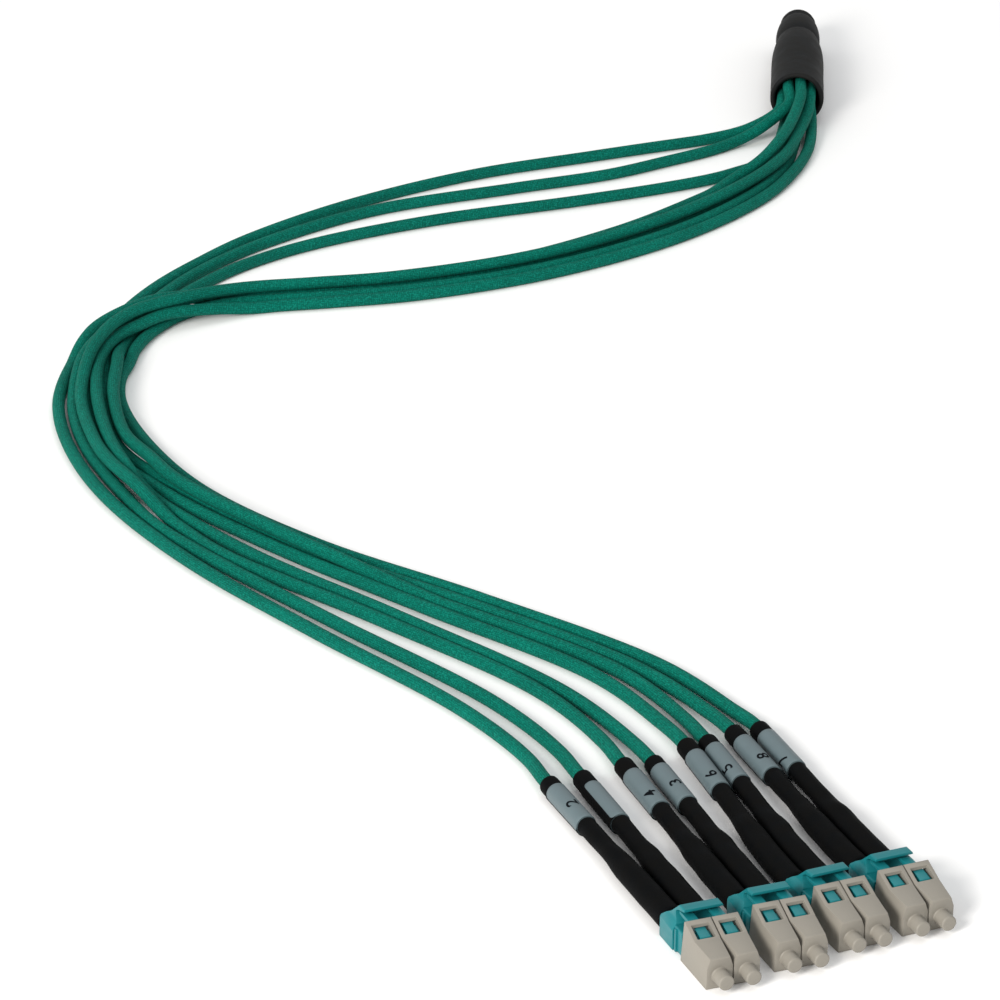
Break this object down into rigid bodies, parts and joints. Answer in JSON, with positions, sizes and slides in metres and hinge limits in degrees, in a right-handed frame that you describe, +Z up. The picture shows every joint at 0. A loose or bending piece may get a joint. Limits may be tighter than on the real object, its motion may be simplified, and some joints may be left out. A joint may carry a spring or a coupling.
{
  "type": "fibre optic cable",
  "caption": "Fan-out end of a fibre optic cable: stepped boot, braided legs lying in an S, numbered heat-shrink sleeves and duplex LC connectors with push-on dust caps",
  "frame": {"origin": "on the floor, under the middle of the box round the boot and the connectors, in metres", "axes": "+Z up from the floor; +Y from the connectors towards the boot; +X to the right as seen from the connectors' side, with the bend of the legs towards -X"},
  "size_m": [0.2152, 0.5868, 0.0159],
  "materials": {
    "boot_black": "dull black heat-shrink with a faint sheen",
    "heatshrink_black": "satin black heat-shrink tube",
    "marker_grey": "smooth blue-grey sleeve with a printed digit",
    "braid_green": "fine braided yarn sleeve, deep green",
    "aqua_plastic": "moulded aqua plastic with a soft gloss",
    "cap_beige": "moulded beige plastic, satin",
    "ceramic_white": "polished white ceramic"
  },
  "bodies": {
    "cable": {"fanout_boot": "boot_black", "leg_1": "braid_green", "heatshrink_1": "heatshrink_black", "marker_sleeve_1": "marker_grey", "lc_plug_1": "aqua_plastic", "ferrule_1": "ceramic_white", "leg_2": "braid_green", "heatshrink_2": "heatshrink_black", "marker_sleeve_2": "marker_grey", "lc_plug_2": "aqua_plastic", "ferrule_2": "ceramic_white", "leg_3": "braid_green", "heatshrink_3": "heatshrink_black", "marker_sleeve_3": "marker_grey", "lc_plug_3": "aqua_plastic", "ferrule_3": "ceramic_white", "leg_4": "braid_green", "heatshrink_4": "heatshrink_black", "marker_sleeve_4": "marker_grey", "lc_plug_4": "aqua_plastic", "ferrule_4": "ceramic_white", "leg_5": "braid_green", "heatshrink_5": "heatshrink_black", "marker_sleeve_5": "marker_grey", "lc_plug_5": "aqua_plastic", "ferrule_5": "ceramic_white", "leg_6": "braid_green", "heatshrink_6": "heatshrink_black", "marker_sleeve_6": "marker_grey", "lc_plug_6": "aqua_plastic", "ferrule_6": "ceramic_white", "leg_7": "braid_green", "heatshrink_7": "heatshrink_black", "marker_sleeve_7": "marker_grey", "lc_plug_7": "aqua_plastic", "ferrule_7": "ceramic_white", "leg_8": "braid_green", "heatshrink_8": "heatshrink_black", "marker_sleeve_8": "marker_grey", "lc_plug_8": "aqua_plastic", "ferrule_8": "ceramic_white", "duplex_clip_a": "aqua_plastic", "duplex_clip_b": "aqua_plastic", "duplex_clip_c": "aqua_plastic", "duplex_clip_d": "aqua_plastic"},
    "cap_2": {"dust_cap_2": "cap_beige"},
    "cap_1": {"dust_cap_1": "cap_beige"},
    "cap_4": {"dust_cap_4": "cap_beige"},
    "cap_3": {"dust_cap_3": "cap_beige"},
    "cap_6": {"dust_cap_6": "cap_beige"},
    "cap_5": {"dust_cap_5": "cap_beige"},
    "cap_8": {"dust_cap_8": "cap_beige"},
    "cap_7": {"dust_cap_7": "cap_beige"}
  },
  "joints": [
    {"name": "cap_1_pull", "type": "slide", "parent": "cable", "child": "cap_1", "axis": [0.3746, -0.9272, 0], "range_m": [0, 0.02]},
    {"name": "cap_2_pull", "type": "slide", "parent": "cable", "child": "cap_2", "axis": [0.3746, -0.9272, 0], "range_m": [0, 0.02]},
    {"name": "cap_3_pull", "type": "slide", "parent": "cable", "child": "cap_3", "axis": [0.3746, -0.9272, 0], "range_m": [0, 0.02]},
    {"name": "cap_4_pull", "type": "slide", "parent": "cable", "child": "cap_4", "axis": [0.3746, -0.9272, 0], "range_m": [0, 0.02]},
    {"name": "cap_5_pull", "type": "slide", "parent": "cable", "child": "cap_5", "axis": [0.4226, -0.9063, 0], "range_m": [0, 0.02]},
    {"name": "cap_6_pull", "type": "slide", "parent": "cable", "child": "cap_6", "axis": [0.4226, -0.9063, 0], "range_m": [0, 0.02]},
    {"name": "cap_7_pull", "type": "slide", "parent": "cable", "child": "cap_7", "axis": [0.4147, -0.91, 0], "range_m": [0, 0.02]},
    {"name": "cap_8_pull", "type": "slide", "parent": "cable", "child": "cap_8", "axis": [0.4147, -0.91, 0], "range_m": [0, 0.02]}
  ]
}
